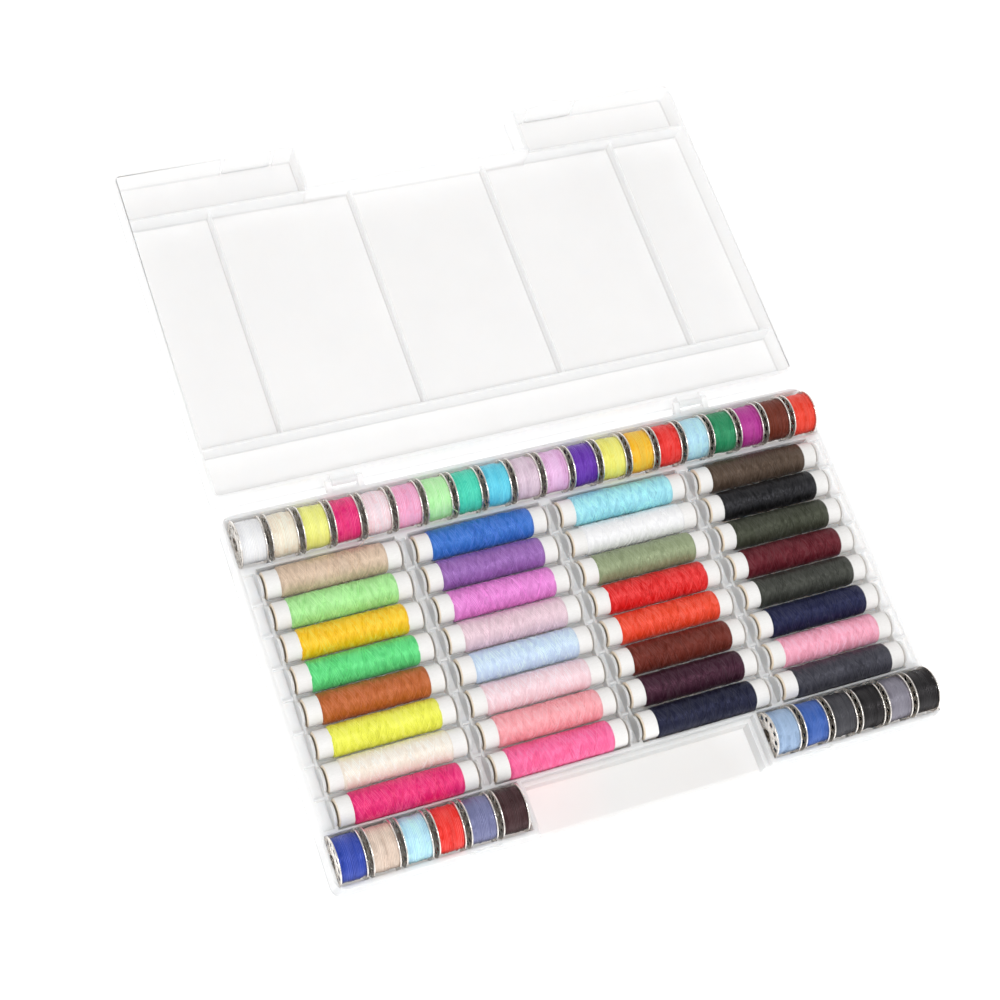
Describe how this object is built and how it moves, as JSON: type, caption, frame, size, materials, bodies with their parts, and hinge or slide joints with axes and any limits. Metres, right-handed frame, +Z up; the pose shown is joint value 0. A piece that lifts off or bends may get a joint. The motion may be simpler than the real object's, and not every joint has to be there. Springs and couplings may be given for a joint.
{
  "type": "sewing box with trays",
  "caption": "Frosted thread box opened flat: tray of cradled thread spools and troughs of metal bobbins, lid on two hinges with sprung latch tabs and a hand-hold notch.",
  "frame": {"origin": "on the table, below the middle of the hinge line, midway between the tray's front and the open lid's far edge", "axes": "+Z up, +Y from the tray towards the open lid, +X to the right along the hinge line"},
  "size_m": [0.28, 0.3398, 0.0223],
  "materials": {
    "frosted_polypropylene": "frosted translucent polypropylene, satin",
    "thread_tan": "cross-wound sewing thread on a white paper tube",
    "thread_light_green": "cross-wound sewing thread on a white paper tube",
    "thread_golden_yellow": "cross-wound sewing thread on a white paper tube",
    "thread_green": "cross-wound sewing thread on a white paper tube",
    "thread_caramel": "cross-wound sewing thread on a white paper tube",
    "thread_lemon": "cross-wound sewing thread on a white paper tube",
    "thread_cream": "cross-wound sewing thread on a white paper tube",
    "thread_magenta": "cross-wound sewing thread on a white paper tube",
    "thread_royal_blue": "cross-wound sewing thread on a white paper tube",
    "thread_purple": "cross-wound sewing thread on a white paper tube",
    "thread_orchid": "cross-wound sewing thread on a white paper tube",
    "thread_mauve": "cross-wound sewing thread on a white paper tube",
    "thread_light_blue": "cross-wound sewing thread on a white paper tube",
    "thread_pale_pink": "cross-wound sewing thread on a white paper tube",
    "thread_salmon": "cross-wound sewing thread on a white paper tube",
    "thread_hot_pink": "cross-wound sewing thread on a white paper tube",
    "thread_pale_cyan": "cross-wound sewing thread on a white paper tube",
    "thread_white": "cross-wound sewing thread on a white paper tube",
    "thread_sage": "cross-wound sewing thread on a white paper tube",
    "thread_red": "cross-wound sewing thread on a white paper tube",
    "thread_orange": "cross-wound sewing thread on a white paper tube",
    "thread_red_brown": "cross-wound sewing thread on a white paper tube",
    "thread_plum": "cross-wound sewing thread on a white paper tube",
    "thread_dark_navy": "cross-wound sewing thread on a white paper tube",
    "thread_taupe": "cross-wound sewing thread on a white paper tube",
    "thread_black": "cross-wound sewing thread on a white paper tube",
    "thread_dark_olive": "cross-wound sewing thread on a white paper tube",
    "thread_burgundy": "cross-wound sewing thread on a white paper tube",
    "thread_forest": "cross-wound sewing thread on a white paper tube",
    "thread_navy": "cross-wound sewing thread on a white paper tube",
    "thread_pink": "cross-wound sewing thread on a white paper tube",
    "thread_slate": "cross-wound sewing thread on a white paper tube",
    "bobbin_thread_white": "thread wound on a nickel-plated bobbin",
    "bobbin_thread_beige": "thread wound on a nickel-plated bobbin",
    "bobbin_thread_light_yellow": "thread wound on a nickel-plated bobbin",
    "bobbin_thread_magenta": "thread wound on a nickel-plated bobbin",
    "bobbin_thread_light_pink": "thread wound on a nickel-plated bobbin",
    "bobbin_thread_pink": "thread wound on a nickel-plated bobbin",
    "bobbin_thread_light_green": "thread wound on a nickel-plated bobbin",
    "bobbin_thread_teal": "thread wound on a nickel-plated bobbin",
    "bobbin_thread_sky_blue": "thread wound on a nickel-plated bobbin",
    "bobbin_thread_mauve": "thread wound on a nickel-plated bobbin",
    "bobbin_thread_orchid": "thread wound on a nickel-plated bobbin",
    "bobbin_thread_dark_purple": "thread wound on a nickel-plated bobbin",
    "bobbin_thread_pale_yellow": "thread wound on a nickel-plated bobbin",
    "bobbin_thread_golden_yellow": "thread wound on a nickel-plated bobbin",
    "bobbin_thread_red": "thread wound on a nickel-plated bobbin",
    "bobbin_thread_light_blue": "thread wound on a nickel-plated bobbin",
    "bobbin_thread_green": "thread wound on a nickel-plated bobbin",
    "bobbin_thread_violet": "thread wound on a nickel-plated bobbin",
    "bobbin_thread_brown": "thread wound on a nickel-plated bobbin",
    "bobbin_thread_orange_red": "thread wound on a nickel-plated bobbin",
    "bobbins_front_left_outer_thread": "thread wound on nickel-plated bobbins",
    "bobbins_front_left_inner_thread": "thread wound on nickel-plated bobbins",
    "bobbins_front_right_inner_thread": "thread wound on nickel-plated bobbins",
    "bobbins_front_right_outer_thread": "thread wound on nickel-plated bobbins"
  },
  "bodies": {
    "tray": {"base_tray": "frosted_polypropylene"},
    "lid": {"lid": "frosted_polypropylene"},
    "latch_left": {"latch_tab_left": "frosted_polypropylene"},
    "latch_right": {"latch_tab_right": "frosted_polypropylene"},
    "spool_tan": {"spool_tan": "thread_tan"},
    "spool_light_green": {"spool_light_green": "thread_light_green"},
    "spool_golden_yellow": {"spool_golden_yellow": "thread_golden_yellow"},
    "spool_green": {"spool_green": "thread_green"},
    "spool_caramel": {"spool_caramel": "thread_caramel"},
    "spool_lemon": {"spool_lemon": "thread_lemon"},
    "spool_cream": {"spool_cream": "thread_cream"},
    "spool_magenta": {"spool_magenta": "thread_magenta"},
    "spool_royal_blue": {"spool_royal_blue": "thread_royal_blue"},
    "spool_purple": {"spool_purple": "thread_purple"},
    "spool_orchid": {"spool_orchid": "thread_orchid"},
    "spool_mauve": {"spool_mauve": "thread_mauve"},
    "spool_light_blue": {"spool_light_blue": "thread_light_blue"},
    "spool_pale_pink": {"spool_pale_pink": "thread_pale_pink"},
    "spool_salmon": {"spool_salmon": "thread_salmon"},
    "spool_hot_pink": {"spool_hot_pink": "thread_hot_pink"},
    "spool_pale_cyan": {"spool_pale_cyan": "thread_pale_cyan"},
    "spool_white": {"spool_white": "thread_white"},
    "spool_sage": {"spool_sage": "thread_sage"},
    "spool_red": {"spool_red": "thread_red"},
    "spool_orange": {"spool_orange": "thread_orange"},
    "spool_red_brown": {"spool_red_brown": "thread_red_brown"},
    "spool_plum": {"spool_plum": "thread_plum"},
    "spool_dark_navy": {"spool_dark_navy": "thread_dark_navy"},
    "spool_taupe": {"spool_taupe": "thread_taupe"},
    "spool_black": {"spool_black": "thread_black"},
    "spool_dark_olive": {"spool_dark_olive": "thread_dark_olive"},
    "spool_burgundy": {"spool_burgundy": "thread_burgundy"},
    "spool_forest": {"spool_forest": "thread_forest"},
    "spool_navy": {"spool_navy": "thread_navy"},
    "spool_pink": {"spool_pink": "thread_pink"},
    "spool_slate": {"spool_slate": "thread_slate"},
    "bobbin_white": {"bobbin_white": "bobbin_thread_white"},
    "bobbin_beige": {"bobbin_beige": "bobbin_thread_beige"},
    "bobbin_light_yellow": {"bobbin_light_yellow": "bobbin_thread_light_yellow"},
    "bobbin_magenta": {"bobbin_magenta": "bobbin_thread_magenta"},
    "bobbin_light_pink": {"bobbin_light_pink": "bobbin_thread_light_pink"},
    "bobbin_pink": {"bobbin_pink": "bobbin_thread_pink"},
    "bobbin_light_green": {"bobbin_light_green": "bobbin_thread_light_green"},
    "bobbin_teal": {"bobbin_teal": "bobbin_thread_teal"},
    "bobbin_sky_blue": {"bobbin_sky_blue": "bobbin_thread_sky_blue"},
    "bobbin_mauve": {"bobbin_mauve": "bobbin_thread_mauve"},
    "bobbin_orchid": {"bobbin_orchid": "bobbin_thread_orchid"},
    "bobbin_dark_purple": {"bobbin_dark_purple": "bobbin_thread_dark_purple"},
    "bobbin_pale_yellow": {"bobbin_pale_yellow": "bobbin_thread_pale_yellow"},
    "bobbin_golden_yellow": {"bobbin_golden_yellow": "bobbin_thread_golden_yellow"},
    "bobbin_red": {"bobbin_red": "bobbin_thread_red"},
    "bobbin_light_blue": {"bobbin_light_blue": "bobbin_thread_light_blue"},
    "bobbin_green": {"bobbin_green": "bobbin_thread_green"},
    "bobbin_violet": {"bobbin_violet": "bobbin_thread_violet"},
    "bobbin_brown": {"bobbin_brown": "bobbin_thread_brown"},
    "bobbin_orange_red": {"bobbin_orange_red": "bobbin_thread_orange_red"},
    "bobbins_front_left_outer": {"bobbins_front_left_outer": "bobbins_front_left_outer_thread"},
    "bobbins_front_left_inner": {"bobbins_front_left_inner": "bobbins_front_left_inner_thread"},
    "bobbins_front_right_inner": {"bobbins_front_right_inner": "bobbins_front_right_inner_thread"},
    "bobbins_front_right_outer": {"bobbins_front_right_outer": "bobbins_front_right_outer_thread"}
  },
  "joints": [
    {"name": "lid_hinge", "type": "hinge", "parent": "tray", "child": "lid", "pos_m": [0, 0, 0.01365], "axis": [-1, 0, 0], "range_deg": [-180, 0]},
    {"name": "latch_left_flex", "type": "hinge", "parent": "lid", "child": "latch_left", "pos_m": [-0.0765, 0.1692, 0.0021], "axis": [-1, 0, 0], "range_deg": [0, 8], "stiffness_Nm_per_rad": 0.2},
    {"name": "latch_right_flex", "type": "hinge", "parent": "lid", "child": "latch_right", "pos_m": [0.0765, 0.1692, 0.0021], "axis": [-1, 0, 0], "range_deg": [0, 8], "stiffness_Nm_per_rad": 0.2},
    {"name": "lift_spool_tan", "type": "slide", "parent": "tray", "child": "spool_tan", "axis": [0, 0, 1], "range_m": [0, 0.04]},
    {"name": "lift_spool_light_green", "type": "slide", "parent": "tray", "child": "spool_light_green", "axis": [0, 0, 1], "range_m": [0, 0.04]},
    {"name": "lift_spool_golden_yellow", "type": "slide", "parent": "tray", "child": "spool_golden_yellow", "axis": [0, 0, 1], "range_m": [0, 0.04]},
    {"name": "lift_spool_green", "type": "slide", "parent": "tray", "child": "spool_green", "axis": [0, 0, 1], "range_m": [0, 0.04]},
    {"name": "lift_spool_caramel", "type": "slide", "parent": "tray", "child": "spool_caramel", "axis": [0, 0, 1], "range_m": [0, 0.04]},
    {"name": "lift_spool_lemon", "type": "slide", "parent": "tray", "child": "spool_lemon", "axis": [0, 0, 1], "range_m": [0, 0.04]},
    {"name": "lift_spool_cream", "type": "slide", "parent": "tray", "child": "spool_cream", "axis": [0, 0, 1], "range_m": [0, 0.04]},
    {"name": "lift_spool_magenta", "type": "slide", "parent": "tray", "child": "spool_magenta", "axis": [0, 0, 1], "range_m": [0, 0.04]},
    {"name": "lift_spool_royal_blue", "type": "slide", "parent": "tray", "child": "spool_royal_blue", "axis": [0, 0, 1], "range_m": [0, 0.04]},
    {"name": "lift_spool_purple", "type": "slide", "parent": "tray", "child": "spool_purple", "axis": [0, 0, 1], "range_m": [0, 0.04]},
    {"name": "lift_spool_orchid", "type": "slide", "parent": "tray", "child": "spool_orchid", "axis": [0, 0, 1], "range_m": [0, 0.04]},
    {"name": "lift_spool_mauve", "type": "slide", "parent": "tray", "child": "spool_mauve", "axis": [0, 0, 1], "range_m": [0, 0.04]},
    {"name": "lift_spool_light_blue", "type": "slide", "parent": "tray", "child": "spool_light_blue", "axis": [0, 0, 1], "range_m": [0, 0.04]},
    {"name": "lift_spool_pale_pink", "type": "slide", "parent": "tray", "child": "spool_pale_pink", "axis": [0, 0, 1], "range_m": [0, 0.04]},
    {"name": "lift_spool_salmon", "type": "slide", "parent": "tray", "child": "spool_salmon", "axis": [0, 0, 1], "range_m": [0, 0.04]},
    {"name": "lift_spool_hot_pink", "type": "slide", "parent": "tray", "child": "spool_hot_pink", "axis": [0, 0, 1], "range_m": [0, 0.04]},
    {"name": "lift_spool_pale_cyan", "type": "slide", "parent": "tray", "child": "spool_pale_cyan", "axis": [0, 0, 1], "range_m": [0, 0.04]},
    {"name": "lift_spool_white", "type": "slide", "parent": "tray", "child": "spool_white", "axis": [0, 0, 1], "range_m": [0, 0.04]},
    {"name": "lift_spool_sage", "type": "slide", "parent": "tray", "child": "spool_sage", "axis": [0, 0, 1], "range_m": [0, 0.04]},
    {"name": "lift_spool_red", "type": "slide", "parent": "tray", "child": "spool_red", "axis": [0, 0, 1], "range_m": [0, 0.04]},
    {"name": "lift_spool_orange", "type": "slide", "parent": "tray", "child": "spool_orange", "axis": [0, 0, 1], "range_m": [0, 0.04]},
    {"name": "lift_spool_red_brown", "type": "slide", "parent": "tray", "child": "spool_red_brown", "axis": [0, 0, 1], "range_m": [0, 0.04]},
    {"name": "lift_spool_plum", "type": "slide", "parent": "tray", "child": "spool_plum", "axis": [0, 0, 1], "range_m": [0, 0.04]},
    {"name": "lift_spool_dark_navy", "type": "slide", "parent": "tray", "child": "spool_dark_navy", "axis": [0, 0, 1], "range_m": [0, 0.04]},
    {"name": "lift_spool_taupe", "type": "slide", "parent": "tray", "child": "spool_taupe", "axis": [0, 0, 1], "range_m": [0, 0.04]},
    {"name": "lift_spool_black", "type": "slide", "parent": "tray", "child": "spool_black", "axis": [0, 0, 1], "range_m": [0, 0.04]},
    {"name": "lift_spool_dark_olive", "type": "slide", "parent": "tray", "child": "spool_dark_olive", "axis": [0, 0, 1], "range_m": [0, 0.04]},
    {"name": "lift_spool_burgundy", "type": "slide", "parent": "tray", "child": "spool_burgundy", "axis": [0, 0, 1], "range_m": [0, 0.04]},
    {"name": "lift_spool_forest", "type": "slide", "parent": "tray", "child": "spool_forest", "axis": [0, 0, 1], "range_m": [0, 0.04]},
    {"name": "lift_spool_navy", "type": "slide", "parent": "tray", "child": "spool_navy", "axis": [0, 0, 1], "range_m": [0, 0.04]},
    {"name": "lift_spool_pink", "type": "slide", "parent": "tray", "child": "spool_pink", "axis": [0, 0, 1], "range_m": [0, 0.04]},
    {"name": "lift_spool_slate", "type": "slide", "parent": "tray", "child": "spool_slate", "axis": [0, 0, 1], "range_m": [0, 0.04]},
    {"name": "lift_bobbin_white", "type": "slide", "parent": "tray", "child": "bobbin_white", "axis": [0, 0, 1], "range_m": [0, 0.04]},
    {"name": "lift_bobbin_beige", "type": "slide", "parent": "tray", "child": "bobbin_beige", "axis": [0, 0, 1], "range_m": [0, 0.04]},
    {"name": "lift_bobbin_light_yellow", "type": "slide", "parent": "tray", "child": "bobbin_light_yellow", "axis": [0, 0, 1], "range_m": [0, 0.04]},
    {"name": "lift_bobbin_magenta", "type": "slide", "parent": "tray", "child": "bobbin_magenta", "axis": [0, 0, 1], "range_m": [0, 0.04]},
    {"name": "lift_bobbin_light_pink", "type": "slide", "parent": "tray", "child": "bobbin_light_pink", "axis": [0, 0, 1], "range_m": [0, 0.04]},
    {"name": "lift_bobbin_pink", "type": "slide", "parent": "tray", "child": "bobbin_pink", "axis": [0, 0, 1], "range_m": [0, 0.04]},
    {"name": "lift_bobbin_light_green", "type": "slide", "parent": "tray", "child": "bobbin_light_green", "axis": [0, 0, 1], "range_m": [0, 0.04]},
    {"name": "lift_bobbin_teal", "type": "slide", "parent": "tray", "child": "bobbin_teal", "axis": [0, 0, 1], "range_m": [0, 0.04]},
    {"name": "lift_bobbin_sky_blue", "type": "slide", "parent": "tray", "child": "bobbin_sky_blue", "axis": [0, 0, 1], "range_m": [0, 0.04]},
    {"name": "lift_bobbin_mauve", "type": "slide", "parent": "tray", "child": "bobbin_mauve", "axis": [0, 0, 1], "range_m": [0, 0.04]},
    {"name": "lift_bobbin_orchid", "type": "slide", "parent": "tray", "child": "bobbin_orchid", "axis": [0, 0, 1], "range_m": [0, 0.04]},
    {"name": "lift_bobbin_dark_purple", "type": "slide", "parent": "tray", "child": "bobbin_dark_purple", "axis": [0, 0, 1], "range_m": [0, 0.04]},
    {"name": "lift_bobbin_pale_yellow", "type": "slide", "parent": "tray", "child": "bobbin_pale_yellow", "axis": [0, 0, 1], "range_m": [0, 0.04]},
    {"name": "lift_bobbin_golden_yellow", "type": "slide", "parent": "tray", "child": "bobbin_golden_yellow", "axis": [0, 0, 1], "range_m": [0, 0.04]},
    {"name": "lift_bobbin_red", "type": "slide", "parent": "tray", "child": "bobbin_red", "axis": [0, 0, 1], "range_m": [0, 0.04]},
    {"name": "lift_bobbin_light_blue", "type": "slide", "parent": "tray", "child": "bobbin_light_blue", "axis": [0, 0, 1], "range_m": [0, 0.04]},
    {"name": "lift_bobbin_green", "type": "slide", "parent": "tray", "child": "bobbin_green", "axis": [0, 0, 1], "range_m": [0, 0.04]},
    {"name": "lift_bobbin_violet", "type": "slide", "parent": "tray", "child": "bobbin_violet", "axis": [0, 0, 1], "range_m": [0, 0.04]},
    {"name": "lift_bobbin_brown", "type": "slide", "parent": "tray", "child": "bobbin_brown", "axis": [0, 0, 1], "range_m": [0, 0.04]},
    {"name": "lift_bobbin_orange_red", "type": "slide", "parent": "tray", "child": "bobbin_orange_red", "axis": [0, 0, 1], "range_m": [0, 0.04]},
    {"name": "lift_bobbins_front_left_outer", "type": "slide", "parent": "tray", "child": "bobbins_front_left_outer", "axis": [0, 0, 1], "range_m": [0, 0.04]},
    {"name": "lift_bobbins_front_left_inner", "type": "slide", "parent": "tray", "child": "bobbins_front_left_inner", "axis": [0, 0, 1], "range_m": [0, 0.04]},
    {"name": "lift_bobbins_front_right_inner", "type": "slide", "parent": "tray", "child": "bobbins_front_right_inner", "axis": [0, 0, 1], "range_m": [0, 0.04]},
    {"name": "lift_bobbins_front_right_outer", "type": "slide", "parent": "tray", "child": "bobbins_front_right_outer", "axis": [0, 0, 1], "range_m": [0, 0.04]}
  ]
}
